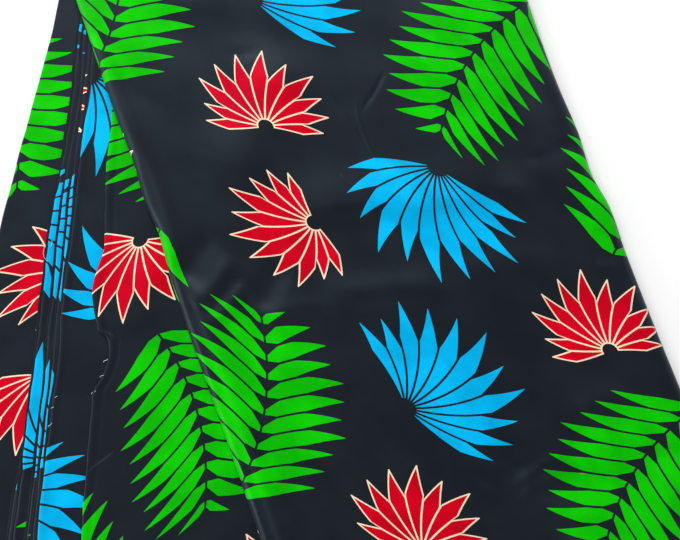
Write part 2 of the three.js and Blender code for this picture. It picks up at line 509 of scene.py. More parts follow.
UPPER_CREASES = (
    Crease(((159, 433), (172, 441), (188, 451), (205, 465)), -0.95, 1.25, 0.2, 0.4),
    Crease(((131, 471), (143, 461), (154, 452)), -0.8, 1.2, 0.2),
    Crease(((150, 120), (175, 190), (186, 260)), 0.7, 10, 0.35),
    Crease(((132, 275), (140, 300), (150, 330), (156, 350)), 1.6, 15, 0.3),
    Crease(((190, 350), (215, 400), (230, 470)), 0.8, 22, 0.35),
    Crease(((170, 540), (220, 560), (290, 552)), 0.8, 12, 0.35),
    Crease(((200, 620), (280, 632), (360, 618)), 0.8, 12, 0.35),
)


SIDE_DEPTHS = (0, 50, 145, 190, 232, 260, 300, 350, 440, 560, 720)


@dataclass(frozen=True)
class FrontPanel:
    """The top sheet of the right leg, rolled down at both sides and carried round the top fold.

    Its rows and columns lie a step apart, and closer together where the folds need it. Those spans
    are shares of the width across, and millimetres below the top fold down the leg. The folds grow
    to their height over the ease below the top fold. Spare is what the rolled sides take of the
    cloth beyond the leg's width.
    """

    pack: FoldedPack
    reach: float = 7.0
    drop: float = 6.5
    roll: float = math.radians(112)
    roll_columns: int = 9
    turn_rows: int = 14
    thickness: float = 0.8
    step: float = 4.2
    finer_across: Rows = ((0.0, 0.17, 2.6), (0.43, 0.64, 1.05))
    finer_down: Rows = ((118, 240, 1.25),)
    left_side: Table = Table(SIDE_DEPTHS, (2, 2, 1, 2, 0, 2, -1, -2, -2, -3, -2))
    right_side: Table = Table(SIDE_DEPTHS, (2, 3, 1, 2, -1, 3, 1, 0, 0, 1, 0))
    creases: tuple[Crease, ...] = EDGE_FOLDS + CORNER_FOLDS + BROAD_FOLDS + FINE_CREASES
    swell: Wander = Wander(seed=5, height=0.60, shortest=60, longest=210)
    loft: float = 2.4
    lowest: float = -0.7
    softness: float = 0.45
    ease: float = 30.0
    steepest: float = 1.5
    spare: float = 16.0
    print_shift: tuple[float, float] = (360.0, 66.0)

    @property
    def flat_width(self) -> float:
        """Width of the sheet laid flat, with its rolled sides, in metres."""
        return (self.pack.width + self.spare) * MM

    def rise(self, across: Grid, depth: Grid) -> Grid:
        """Finds the height of the folds and the swell above the flat sheet.

        Args:
            across: Distances across the leg.
            depth: Depths below the top fold.

        Returns:
            The heights, eased so that none falls below the lowest one.
        """
        total = self.loft + self.swell.at(across, depth)
        for crease in self.creases:
            total = total + crease.at(across, depth)
        above = (total - self.lowest) / self.softness
        return self.lowest + self.softness * np.logaddexp(0, above)

    def build(self) -> bpy.types.Object:
        """Makes the sheet.

        Returns:
            The new object.
        """
        pack = self.pack
        closer = tuple((low, high, step / pack.width) for low, high, step in self.finer_across)
        flat = paced(0, 1, self.step / pack.width, closer)
        angles = self.roll * np.arange(1, self.roll_columns + 1) / self.roll_columns
        share = np.concatenate([np.zeros(self.roll_columns), flat, np.ones(self.roll_columns)])
        angle = np.concatenate([-angles[::-1], np.zeros(len(flat)), angles])
        end = pack.length / 2
        closer = tuple((low / end, high / end, step / end) for low, high, step in self.finer_down)
        turn, run = leg_rows(self.turn_rows, paced(0, 1, self.step / end, closer))
        share = share[None, :]
        angle = angle[None, :]
        depth = pack.right_end(pack.width * share) * run
        left = self.reach + self.left_side.at(depth)
        right = pack.width - self.reach + self.right_side.at(depth)
        flat_across = left + (right - left) * share
        across = flat_across + self.reach * np.sin(angle)
        level = pack.stack - self.drop + self.drop * np.cos(angle)
        points = pack.right_leg(across, depth, level, turn)
        upright = np.cos(np.clip(angle, -self.steepest, self.steepest))
        lift = self.rise(across, depth) * upright**2
        points[..., 2] += np.where(turn >= LEG_TURN, lift * smooth_step(0, self.ease, depth), 0)
        places = np.stack(
            [
                flat_across + self.reach * angle + self.print_shift[0],
                depth - (math.pi - turn) * pack.stack + 0 * angle + self.print_shift[1],
            ],
            axis=-1,
        )
        return cloth_object(
            "front_panel_cloth", pack.to_part(points), places * MM, self.thickness * MM, -1
        )


@dataclass(frozen=True)
class FoldedCore:
    """The hidden layers of the right leg and of the top fold, one cloth folded to and fro.

    Insets say how far each ply stands in from the leg's left side, right side and end. The plies
    follow the top sheet's folds, the upper ones more than the lower ones.
    """

    pack: FoldedPack
    front: FrontPanel
    columns: int = 17
    fold_columns: int = 6
    turn_rows: int = 10
    row_step: float = 8.0
    thickness: float = 0.45
    bulge: float = 1.5
    last_rows: float = 0.9
    uneven: Wander = Wander(seed=23, height=0.7, shortest=60, longest=190, waves=6)
    plies_apart: float = 40.0
    insets: Rows = (
        (6.0, 5.0, 9.0),
        (5.2, 5.6, 6.4),
        (3.6, 3.4, 4.2),
        (4.4, 4.6, 8.2),
        (5.3, 4.4, 11.0),
        (4.9, 5.4, 7.4),
        (6.3, 6.0, 6.0),
        (7.0, 7.2, 9.0),
    )
    shift: tuple[float, float] = (0.11, 0.05)
    follow: float = 0.7

    @property
    def plies(self) -> int:
        """How many times the cloth crosses the leg, a row of insets for each."""
        return len(self.insets)

    @property
    def flat_width(self) -> float:
        """Width of the cloth laid flat, in metres."""
        return self.plies * self.pack.width * MM

    def build(self) -> bpy.types.Object:
        """Makes the folded cloth.

        Returns:
            The new object.
        """
        pack = self.pack
        step = (pack.stack - pack.pitch) / self.plies
        flat = np.linspace(0, 1, self.columns)
        down = paced(0, 1, self.row_step / (pack.length / 2))
        turn, run = leg_rows(self.turn_rows, down)
        strips: list[Grid] = []
        places: list[Grid] = []
        used = 0.0
        for ply, (left_in, right_in, end_in) in enumerate(self.insets):
            forward = ply % 2 == 0
            share = (flat if forward else flat[::-1])[None, :]
            depth = pack.right_end(pack.width * share) * run
            depth = depth - end_in * smooth_step(self.last_rows, 1.0, run)
            uneven = self.uneven.at(self.plies_apart * ply + 0 * share, depth)
            left = left_in + self.front.left_side.at(depth) + uneven
            right = pack.width - right_in + self.front.right_side.at(depth) + uneven
            across = left + (right - left) * share
            rise = self.front.rise(across, depth) * smooth_step(0, self.front.ease, depth)
            level = (ply + 0.5) * step + self.follow * (ply + 1) / self.plies * rise
            strips.append(pack.right_leg(across, depth, level, turn))
            spread = pack.width * (share if forward else 1 - share)
            places.append(np.stack(np.broadcast_arrays(used + spread, depth), axis=-1))
            used += pack.width
            if ply + 1 == self.plies:
                break
            bend = np.linspace(0, math.pi, self.fold_columns + 2)[1:-1][None, :]
            edge = across[:, -1:]
            side = 1 if forward else -1
            bent = edge + side * self.bulge * np.sin(bend)
            bend_level = level[:, -1:] + step / 2 - step / 2 * np.cos(bend)
            strips.append(pack.right_leg(bent, depth[:, -1:], bend_level, turn))
            spread = used + 0 * bend
            places.append(np.stack(np.broadcast_arrays(spread, depth[:, -1:]), axis=-1))
        points = np.concatenate(strips, axis=1)
        flat_places = np.concatenate(places, axis=1) * MM + np.array(self.shift)
        return cloth_object(
            "folded_core_cloth", pack.to_part(points), flat_places, self.thickness * MM, 0
        )


# The left leg's edges are distances from the pack's left side at these depths below the top fold.
# The selvedge has rows of its own, (depth, distance), which hold its kink.
LAYER_DEPTHS = (0, 60, 120, 180, 240, 300, 330, 360, 420, 480, 540, 600, 660, 720)
UPPER_EDGE = (
    (0, 51), (60, 62), (120, 73), (180, 83), (212, 88), (244, 95), (271, 100), (285, 99.2),
    (296, 98.5), (308, 100), (322, 104.4), (337, 111), (345, 114.5), (351, 122.5), (359, 126),
    (377, 127.5), (388, 126), (397, 122.5), (412, 123.8), (430, 126.5), (465, 132.5),
    (495, 136.5), (529, 143.3), (600, 157), (660, 167), (720, 178),
)

# The layers from the table up: the node, how far it ends short of the leg's right side and of its
# lower end, its place on the cloth in metres, and its edge.
LEFT_LAYERS = (
    ("under_panel", 0, 0, (0.02, 0.03), (0, 1, 1, 0, 0, 0, 0, 0, -1, -1, 0, 0, 1, 1)),
    ("layer_1", 3, 7, (0.120, 0.172), (22, 30, 39, 45, 49, 57, 60, 64, 71, 74, 80, 87, 94, 101)),
    ("layer_2", 1, 3, (0.124, 0.156), (20, 27, 36, 42, 46, 54, 58, 62, 69, 78, 85, 92, 99, 107)),
    ("layer_3", 5, 10, (0.112, 0.164), (24, 32, 42, 47, 54, 63, 67, 72, 81, 89, 97, 105, 114, 122)),
    ("layer_4", 2, 5, (0.092, 0.152), (28, 37, 46, 53, 61, 69, 73, 78, 86, 94, 103, 111, 119, 128)),
    (
        "middle_panel",
        6,
        12,
        (0.07, 0.02),
        (33, 42, 51, 58, 66, 73, 77, 83, 90, 98, 107, 115, 123, 131),
    ),
    ("upper_panel", 4, 8, (0.18, 0.14), tuple(edge for _, edge in UPPER_EDGE)),
)


@dataclass(frozen=True)
class FoldedLayer:
    """One layer of the left leg, a sheet folded double at its left edge.

    A lip looks out below the fold: a narrow strip with no print, in a colour darker than the
    ground, that is painted shade for the gap between this layer and the one below. Puff lifts the
    fold's upper side, and curl turns a bare selvedge up with a dip behind it, most of all at the
    kink. They are heights, and their places are (distance in from the edge, width). The kink's
    place is (depth, length). Each layer's unevenness has a seed of its own.
    """

    pack: FoldedPack
    place: int
    node: str
    right_step: float
    bottom_step: float
    shift: tuple[float, float]
    edge: tuple[float, ...]
    depths: tuple[float, ...] = LAYER_DEPTHS
    reach: float = 2.2
    thickness: float = 0.30
    column_step: float = 7.0
    row_step: float = 4.0
    fine: Rows = ((0.0, 30.0, 1.2),)
    fine_rows: Rows = ()
    under_columns: int = 9
    bend_columns: int = 9
    # The lip is a strip of painted shade below the fold; these give its size and shape.
    lip: float = 2.4
    lip_round: float = 0.25
    lip_roots: tuple[float, float] = (0.8, 0.9)
    lip_heights: tuple[float, ...] = (-1.0, -0.96, -0.62, -0.30, -0.26)
    lip_top: float = -0.22
    fray: float = 0.28
    fray_waves: tuple[float, float] = (17.0, 41.0)
    uneven: Wander = Wander(seed=31, height=0.45, shortest=18, longest=90, waves=8)
    proud: float = 0.05
    puff: float = 0.5
    puff_place: tuple[float, float] = (2.0, 3.4)
    curl: float = 0.0
    curl_place: tuple[float, float] = (3.4, 2.6)
    curl_share: float = 0.55
    kink_share: float = 0.45
    kink_place: tuple[float, float] = (362, 40)
    dip: float = 0.25
    dip_place: tuple[float, float] = (8.5, 2.0)
    creases: tuple[Crease, ...] = ()

    @property
    def mean_width(self) -> float:
        """Mean width of the folded layer."""
        return self.pack.width - self.right_step - float(np.mean(self.edge))

    @property
    def flat_width(self) -> float:
        """Width of the layer laid flat, in metres."""
        return 2 * self.mean_width * MM

    def section(self, width: float) -> tuple[Grid, Grid, Grid, Grid]:
        """Lists the columns of the section, from the lower ply over the edge to the upper one.

        Args:
            width: Width of the layer.

        Returns:
            For each column its share of the flat width, how far it stands in from the layer's edge,
            its height as a share of the wall from -1 to 1, and how far it lies in the lip that
            takes a painted shade.
        """
        top = paced(0, width, self.column_step, self.fine) / width
        low = np.linspace(1, 0, self.under_columns)
        bend = np.linspace(-math.pi / 2, math.pi / 2, self.bend_columns + 2)[1:-1]
        share = [low]
        inset = [np.full(len(low), self.reach)]
        height = [np.full(len(low), -1.0)]
        lip_shade = [np.zeros(len(low))]
        fold = np.sin(bend)
        # The lip: a strip below the fold that takes a painted shade, darker than the ground, with
        # no print.
        if self.lip:
            root, top_root = self.lip_roots
            shoulder = -self.lip + self.lip_round
            share.append(np.zeros(len(self.lip_heights)))
            inset.append(np.array([root, shoulder, -self.lip, shoulder, top_root]))
            height.append(np.array(self.lip_heights))
            lip_shade.append(np.ones(len(self.lip_heights)))
            fold = np.maximum(fold, self.lip_top)
        share.append(np.zeros(len(bend)))
        inset.append(self.reach - self.reach * np.cos(bend))
        height.append(fold)
        lip_shade.append(np.zeros(len(bend)))
        share.append(top)
        inset.append(np.full(len(top), self.reach))
        height.append(np.ones(len(top)))
        lip_shade.append(np.zeros(len(top)))
        return tuple(np.concatenate(part)[None, :] for part in (share, inset, height, lip_shade))

    def build(self) -> bpy.types.Object:
        """Makes the layer.

        Returns:
            The new object.
        """
        pack = self.pack
        table = Table(self.depths, self.edge)
        wander = replace(self.uneven, seed=self.uneven.seed + self.place)
        right = pack.width - self.right_step
        share, inset, height, lip_shade = self.section(self.mean_width)
        length = float(pack.left_end(pack.width / 2))
        run = (paced(0, length, self.row_step, self.fine_rows) / length)[:, None]
        short_wave, long_wave = self.fray_waves

        def across_at(depth: Grid) -> Grid:
            """Finds each column's place across the leg.

            Args:
                depth: Depths below the top fold.

            Returns:
                Distances from the pack's left side.
            """
            edge = table.at(depth) + wander.at(0 * depth, depth)
            beat = self.fray * np.sin(depth / short_wave + self.place) * np.sin(depth / long_wave)
            start = edge + np.where(inset < 0, inset * (1 + beat), inset)
            return start + (right - start) * share

        end = pack.left_end(0 * share + pack.width / 2)
        for _ in range(END_ROUNDS):
            end = pack.left_end(across_at(end)) - self.bottom_step
        depth = pack.gap + (end - pack.gap) * run
        across = across_at(depth)
        half = pack.wall / 2
        level = self.place * pack.pitch + half + (half + self.proud) * height + 0 * across
        away = across - table.at(depth)
        upper = (height + 1) / 2
        lift = self.puff * hump(away, *self.puff_place)
        for crease in self.creases:
            lift = lift + crease.at(across, depth)
        if self.curl:
            kink = hump(depth, *self.kink_place)
            strength = self.curl_share + self.kink_share * kink
            lift = lift + self.curl * strength * hump(away, *self.curl_place)
            lift = lift - self.dip * strength * hump(away, *self.dip_place)
        points = pack.left_leg(across, depth, level + upper * lift)
        unrolled = np.where(height < 0, 2 * table.at(depth) - across, across)
        flat = np.stack(np.broadcast_arrays(unrolled, -depth), axis=-1) * MM
        return cloth_object(
            self.node + "_cloth",
            pack.to_part(points),
            flat + np.array(self.shift),
            self.thickness * MM,
            -1,
            lip_shade + 0 * across,
        )


def left_layers(pack: FoldedPack) -> list[FoldedLayer]:
    """Lists the layers of the left leg, from the table up.

    Args:
        pack: Sizes of the folded cloth.

    Returns:
        The layers.
    """
    layers = [FoldedLayer(pack, place, *row) for place, row in enumerate(LEFT_LAYERS)]
    layers[0] = replace(layers[0], lip=0.0, puff=0.0)
    layers[-1] = replace(
        layers[-1],
        depths=tuple(depth for depth, _ in UPPER_EDGE),
        reach=1.3,
        fine=((0.0, 85.0, 0.9),),
        fine_rows=((330.0, 480.0, 1.1),),
        lip=0.0,
        puff=0.3,
        curl=0.45,
        creases=UPPER_CREASES,
    )
    return layers


@dataclass(frozen=True)
class LooseThreads:
    """The frayed ends along the layers' left edges, and one pulled loop, which is two threads long.

    Each thread is a row of points on the left leg as (across, depth, height).
    """

    pack: FoldedPack
    radius: float = 0.22
    roundness: int = 1
    order: int = 3
    smoothness: int = 5
    threads: tuple[Rows, ...] = (
        ((52.5, 277, 4.9), (48.6, 274, 4.2), (45.6, 269, 1.9), (45, 263, 1.8), (46.9, 258.5, 2.1)),
        ((46.9, 258.5, 2.1), (49.6, 256, 3.6), (52.4, 259, 5.0), (51.6, 264, 5.0)),
        ((91.6, 401, 9.2), (90.2, 402.4, 9.0), (88.8, 403.2, 7.4), (88.3, 405.0, 6.9)),
        ((91.0, 411, 9.2), (89.4, 410.6, 8.6), (88.4, 412.0, 7.2)),
        ((93.0, 425, 9.2), (91.6, 427.2, 9.1), (90.2, 427.0, 7.8), (89.6, 429.0, 7.0)),
        ((128.6, 371, 10.2), (127.2, 372.4, 10.0), (125.6, 371.8, 8.9), (124.9, 373.6, 8.5)),
        ((128.2, 386, 10.2), (126.6, 385.0, 10.0), (125.0, 386.8, 8.8)),
        ((124.6, 399, 10.2), (122.9, 400.4, 9.6), (121.6, 399.8, 8.6), (121.1, 401.6, 8.5)),
    )

    def build(self) -> bpy.types.Object:
        """Makes the threads.

        Returns:
            The new object, at the origin, with its place in its mesh.
        """
        data = bpy.data.curves.new("loose_threads", "CURVE")
        data.dimensions = "3D"
        data.bevel_depth = self.radius * MM
        data.bevel_resolution = self.roundness
        data.use_fill_caps = True
        for thread in self.threads:
            place = np.array(thread, float)
            points = self.pack.to_part(self.pack.left_leg(place[:, 0], place[:, 1], place[:, 2]))
            spline = data.splines.new("NURBS")
            spline.points.add(len(points) - 1)
            for knot, point in zip(spline.points, points):
                knot.co = (*(float(part) for part in point), 1.0)
            spline.order_u = self.order
            spline.resolution_u = self.smoothness
            spline.use_endpoint_u = True
        piece = bpy.data.objects.new("loose_threads", data)
        bpy.context.scene.collection.objects.link(piece)
        select_only(piece)
        bpy.ops.object.convert(target="MESH")
        piece.data.name = "loose_threads"
        piece.select_set(False)
        return piece


class Field:
    """A number at each place on the cloth, held as a socket of a material's nodes."""

    def __init__(self, tree: bpy.types.NodeTree, socket: bpy.types.NodeSocket) -> None:
        """Keeps the socket and its tree."""
        self.tree = tree
        self.socket = socket

    def math(self, operation: str, *others: "Field | float") -> "Field":
        """Adds one math node.

        Args:
            operation: Blender's name of the operation.
            others: Its other inputs.

        Returns:
            The result.
        """
        node = self.tree.nodes.new("ShaderNodeMath")
        node.operation = operation
        for place, value in enumerate((self, *others)):
            if isinstance(value, Field):
                self.tree.links.new(value.socket, node.inputs[place])
            else:
                node.inputs[place].default_value = float(value)
        return Field(self.tree, node.outputs[0])

    def __add__(self, other: "Field | float") -> "Field":
        """The sum."""
        return self.math("ADD", other)

    def __sub__(self, other: "Field | float") -> "Field":
        """The difference."""
        return self.math("SUBTRACT", other)

    def __mul__(self, other: "Field | float") -> "Field":
        """The product."""
        return self.math("MULTIPLY", other)

    def __truediv__(self, other: "Field | float") -> "Field":
        """The quotient."""
        return self.math("DIVIDE", other)

    def __neg__(self) -> "Field":
        """The field with its sign changed."""
        return self.math("MULTIPLY", -1.0)

    def away_from(self, value: float) -> "Field":
        """A value less the field."""
        return self.math("MULTIPLY_ADD", -1.0, value)

    def size(self) -> "Field":
        """The field without its sign."""
        return self.math("ABSOLUTE")

    def floor(self) -> "Field":
        """The whole number below."""
        return self.math("FLOOR")

    def round(self) -> "Field":
        """The nearest whole number."""
        return self.math("ROUND")

    def sine(self) -> "Field":
        """The sine."""
        return self.math("SINE")

    def cosine(self) -> "Field":
        """The cosine."""
        return self.math("COSINE")

    def power(self, exponent: float) -> "Field":
        """A power of the field where it is positive, and 0 elsewhere."""
        return self.math("MAXIMUM", 0.0).math("POWER", exponent)

    def most(self, other: "Field | float") -> "Field":
        """The larger of two."""
        return self.math("MAXIMUM", other)

    def least(self, other: "Field | float") -> "Field":
        """The smaller of two."""
        return self.math("MINIMUM", other)

    def angle(self, other: "Field") -> "Field":
        """The angle whose tangent is the field over the other."""
        return self.math("ARCTAN2", other)

    def below(self, value: float) -> "Field":
        """1 where the field is below a value, and 0 elsewhere."""
        return self.math("LESS_THAN", value)


class Ink(Enum):
    """The print's colours, and the painted shade of the lips below the folds, as linear red, green
    and blue.
    """

    GREEN = (0.002, 0.520, 0.0005)
    BLUE = (0.0005, 0.450, 0.860)
    RED = (0.590, 0.0005, 0.0055)
    CREAM = (0.920, 0.730, 0.510)
    GROUND = (0.0050, 0.0066, 0.0088)
    # Painted shade: darker than the ground, for the lips below the left leg's folds, where the gaps
    # between the layers lie in shadow.
    BORDER = (0.0030, 0.0036, 0.0050)


@dataclass(frozen=True)
class Fan:
    """A spread of pointed blades round one root, as on a fan palm or an opened flower.

    Lengths are in millimetres and the pitch from blade to blade in degrees. Uneven is the share
    of the reach by which the blades differ, in a beat along the row of blades.
    """

    root: float
    reach: float
    pitch: float
    side: int
    shorter: float
    gap: float
    tip: float
    point: float
    curl: float
    hub: float
    uneven: float = 0.05
    beat: float = 2.6
    beat_start: float = 0.8

    def outline(self, x: Field, y: Field) -> Field:
        """Measures how far places lie outside the motif.

        Args:
            x: Places across the motif, in millimetres.
            y: Places along it.

        Returns:
            Distances, below 0 inside the motif.
        """
        pitch = math.radians(self.pitch)
        y = y + self.root
        radius = (x * x + y * y).math("SQRT")
        theta = x.angle(y) - radius * (self.curl / self.reach)
        blade = (theta / pitch).round().most(-self.side).least(self.side)
        phi = theta - blade * pitch
        across = (radius * phi.sine()).size()
        along = radius * phi.cosine()
        share = blade / self.side
        length = (share * share * (self.reach * self.shorter)).away_from(self.reach)
        beat = (blade * self.beat + self.beat_start).sine()
        length = length + beat * (self.reach * self.uneven)
        opening = across - along * math.tan(pitch / 2) + self.gap / 2
        left = length - along
        tip = across - left.power(self.point) * self.tip
        return opening.most(tip).most(-left).most(along.away_from(self.hub))


@dataclass(frozen=True)
class Frond:
    """Leaflets in pairs up a bowed midrib, with lengths in millimetres."""

    half: float
    bow: float
    lean: float
    curl: float
    pitch: float
    pairs: int
    square: float
    low: float
    reach: float
    gap: float
    open: float
    root: float
    tip: float
    point: float
    rib: float
    uneven: float = 0.05
    beat: float = 2.3
    past: float = 1.5

    def outline(self, x: Field, y: Field) -> Field:
        """Measures how far places lie outside the motif.

        Args:
            x: Places across the motif, in millimetres.
            y: Places along it.

        Returns:
            Distances, below 0 inside the motif.
        """
        x = x - y * y * (self.bow / self.half / self.half)
        side = x.size()
        run = y - side * self.lean + side * side * self.curl
        leaf = (run / self.pitch).round().most(-self.pairs).least(self.pairs)
        across = ((run - leaf * self.pitch) * self.square).size()
        share = (leaf - self.low) / (self.pairs + self.past)
        length = (share * share).away_from(1.0).power(0.5) * self.reach
        length = length + (leaf * self.beat).sine() * (self.reach * self.uneven)
        body = across - (self.pitch * self.square - self.gap) / 2
        root = across - side * self.open - self.root
        left = length - side
        tip = across - left.power(self.point) * self.tip
        return body.most(root).most(-left).most(tip).most(side.away_from(self.rib))


@dataclass(frozen=True)
class Placing:
    """One motif of the repeat, with its place in millimetres and its turn in degrees."""

    motif: Fan | Frond
    ink: Ink
    u: float
    v: float
    turn: float


PALM = Frond(
    half=92,
    bow=15,
    lean=0.80,
    curl=0.0040,
    pitch=17.0,
    pairs=5,
    square=0.80,
    low=-1.0,
    reach=64,
    gap=1.9,
    open=0.4,
    root=1.8,
    tip=0.26,
    point=0.92,
    rib=1.0,
)
FAN_LEAF = Fan(
    root=44,
    reach=108,
    pitch=14.0,
    side=5,
    shorter=0.30,
    gap=1.9,
    tip=0.25,
    point=0.96,
    curl=0.34,
    hub=9,
)
LOTUS = Fan(
    root=31,
    reach=73,
    pitch=18.0,
    side=5,
    shorter=0.36,
    gap=0.0,
    tip=0.34,
    point=0.94,
    curl=-0.20,
    hub=7,
)

LAYOUT = (
    Placing(PALM, Ink.GREEN, 0, 301, -154),
    Placing(PALM, Ink.GREEN, 293, 374, 46),
    Placing(FAN_LEAF, Ink.BLUE, 162, 295, -104),
    Placing(FAN_LEAF, Ink.BLUE, 197, 124, 38),
    Placing(LOTUS, Ink.RED, 92, 9, -176),
    Placing(LOTUS, Ink.RED, 71, 141, 74),
    Placing(LOTUS, Ink.RED, 306, 236, 170),
)


@dataclass(frozen=True)
class WaxPrint:
    """The wax print cotton: a dark ground with leaves and flowers in three bright inks.

    The repeat, the cream outline's reach to both sides of a petal's edge and the weave are in
    millimetres. A noise makes each ink a little darker or lighter, within the shares given. The
    lips below the left leg's folds take a painted shade in place of the print.
    """

    tile_width: float = 398.0
    tile_height: float = 390.0
    outline: float = 0.55
    inline: float = 0.75
    layout: tuple[Placing, ...] = LAYOUT
    blotch_scale: float = 26.0
    blotch_detail: float = 3.0
    blotch_span: tuple[float, float] = (0.38, 0.62)
    ground_shares: tuple[float, float] = (0.92, 1.10)
    ink_shares: tuple[float, float] = (0.82, 1.08)
    cream_shares: tuple[float, float] = (0.92, 1.05)
    roughness: float = 0.48
    specular: float = 0.38
    shine: float = 105.0
    sheen: float = 0.03
    sheen_roughness: float = 0.4
    weave: float = 0.45
    weave_height: float = 0.02
    soft_scale: float = 16.0
    soft_detail: float = 4.0
    soft_height: float = 0.35
    bump: float = 0.35

    def local(self, u: Field, v: Field, placing: Placing) -> tuple[Field, Field]:
        """Finds places on a motif's own axes, in a half drop repeat.

        Args:
            u: Places across the cloth, in millimetres.
            v: Places along the cloth.
            placing: Where the motif lies.

        Returns:
            Places across and along the motif.
        """
        u = u - placing.u
        column = (u / self.tile_width + 0.5).floor()
        x = u - column * self.tile_width
        v = v - placing.v + column * (self.tile_height / 2)
        y = v - (v / self.tile_height + 0.5).floor() * self.tile_height
        cos = math.cos(math.radians(placing.turn))
        sin = math.sin(math.radians(placing.turn))
        return x * cos + y * sin, y * cos - x * sin

    def build(self) -> bpy.types.Material:
        """Makes the material.

        Returns:
            The new material.
        """
        material = bpy.data.materials.new("wax_print_cotton")
        material.use_nodes = True
        tree = material.node_tree
        shader = tree.nodes["Principled BSDF"]
        map_node = tree.nodes.new("ShaderNodeUVMap")
        map_node.uv_map = CLOTH_MAP
        split = tree.nodes.new("ShaderNodeSeparateXYZ")
        tree.links.new(map_node.outputs["UV"], split.inputs[0])
        u = Field(tree, split.outputs[0]) * PER_METRE
        v = Field(tree, split.outputs[1]) * PER_METRE
        blotch = self.noise(tree, map_node, self.blotch_scale, self.blotch_detail)
        # The lips below the left leg's folds are painted shade: there the ground turns darker and
        # no ink is printed.
        edge = tree.nodes.new("ShaderNodeAttribute")
        edge.attribute_name = BORDER
        off_lip = Field(tree, edge.outputs["Fac"]).below(0.5)
        # Painted shade for the lips, darker than the ground.
        dark = self.tinted(tree, Ink.BORDER, self.ground_shares, blotch)
        ground = self.tinted(tree, Ink.GROUND, self.ground_shares, blotch)
        colour = self.over(tree, dark, ground, off_lip)
        for placing in self.layout:
            x, y = self.local(u, v, placing)
            distance = placing.motif.outline(x, y)
            ink = self.tinted(tree, placing.ink, self.ink_shares, blotch)
            if placing.ink is Ink.RED:
                cream = self.tinted(tree, Ink.CREAM, self.cream_shares, blotch)
                outer = distance.below(self.outline) * off_lip
                colour = self.over(tree, colour, cream, outer)
                inner = distance.below(-self.inline) * off_lip
                colour = self.over(tree, colour, ink, inner)
            else:
                colour = self.over(tree, colour, ink, distance.below(0.0) * off_lip)
        tree.links.new(colour, shader.inputs["Base Color"])
        tree.links.new(self.glint(tree, colour), shader.inputs["Specular Tint"])
        self.relief(tree, map_node, u, v, shader)
        shader.inputs["Roughness"].default_value = self.roughness
        shader.inputs["Specular IOR Level"].default_value = self.specular
        shader.inputs["Sheen Weight"].default_value = self.sheen
        shader.inputs["Sheen Roughness"].default_value = self.sheen_roughness
        return material

    def glint(self, tree: bpy.types.NodeTree, colour: bpy.types.NodeSocket) -> bpy.types.NodeSocket:
        """Makes the shine take the hue of the dye under it.

        Args:
            tree: The material's nodes.
            colour: The colour of the dye.

        Returns:
            The socket of the tint.
        """
        mix = tree.nodes.new("ShaderNodeMix")
        mix.data_type = "RGBA"
        mix.blend_type = "MULTIPLY"
        mix.clamp_result = True
        mix.inputs[MIX_SHARE].default_value = 1.0
        mix.inputs[MIX_OVER].default_value = (self.shine, self.shine, self.shine, 1.0)
        tree.links.new(colour, mix.inputs[MIX_UNDER])
        return mix.outputs[MIX_RESULT]

    def noise(
        self, tree: bpy.types.NodeTree, source: bpy.types.Node, scale: float, detail: float
    ) -> bpy.types.NodeSocket:
        """Adds a noise on the cloth's own map.

        Args:
            tree: The material's nodes.
            source: The node of the cloth's map.
            scale: Waves to a metre.
            detail: How many finer waves it has.

        Returns:
            The socket of its value.
        """
        node = tree.nodes.new("ShaderNodeTexNoise")
        node.inputs["Scale"].default_value = scale
        node.inputs["Detail"].default_value = detail
        tree.links.new(source.outputs["UV"], node.inputs["Vector"])
        return node.outputs["Fac"]

    def tinted(
        self,
        tree: bpy.types.NodeTree,
        ink: Ink,
        shares: tuple[float, float],
        blotch: bpy.types.NodeSocket,
    ) -> bpy.types.NodeSocket:
        """Makes an ink a little uneven.

        Args:
            tree: The material's nodes.
            ink: The ink.
            shares: Its shares where it is darkest and where it is lightest.
            blotch: A noise that says where.

        Returns:
            The socket of its colour.
        """
        ramp = tree.nodes.new("ShaderNodeValToRGB")
        for element, share, place in zip(ramp.color_ramp.elements, shares, self.blotch_span):
            element.position = place
            element.color = (*(min(part * share, 1.0) for part in ink.value), 1.0)
        tree.links.new(blotch, ramp.inputs[0])
        return ramp.outputs[0]

    def over(
        self,
        tree: bpy.types.NodeTree,
        under: bpy.types.NodeSocket,
        ink: bpy.types.NodeSocket,
        mask: Field,
    ) -> bpy.types.NodeSocket:
        """Prints an ink over what is there.

        Args:
            tree: The material's nodes.
            under: The colour so far.
            ink: The ink's colour.
            mask: 1 where the ink lies.

        Returns:
            The socket of the new colour.
        """
        mix = tree.nodes.new("ShaderNodeMix")
        mix.data_type = "RGBA"
        tree.links.new(mask.socket, mix.inputs[MIX_SHARE])
        tree.links.new(under, mix.inputs[MIX_UNDER])
        tree.links.new(ink, mix.inputs[MIX_OVER])
        return mix.outputs[MIX_RESULT]

    def relief(
        self,
        tree: bpy.types.NodeTree,
        source: bpy.types.Node,
        u: Field,
        v: Field,
        shader: bpy.types.Node,
    ) -> None:
        """Adds the weave and the soft unevenness of pressed cotton.

        Args:
            tree: The material's nodes.
            source: The node of the cloth's map.
            u: Places across the cloth, in millimetres.
            v: Places along the cloth.
            shader: The shader that takes the bent normal.
        """
        turn = 2 * math.pi / self.weave
        threads = (u * turn).sine() * (v * turn).sine()
        soft = Field(tree, self.noise(tree, source, self.soft_scale, self.soft_detail))
        height = threads * self.weave_height + soft * self.soft_height
        bump = tree.nodes.new("ShaderNodeBump")
        bump.inputs["Strength"].default_value = self.bump
        bump.inputs["Distance"].default_value = MM
        tree.links.new(height.socket, bump.inputs["Height"])
        tree.links.new(bump.outputs["Normal"], shader.inputs["Normal"])


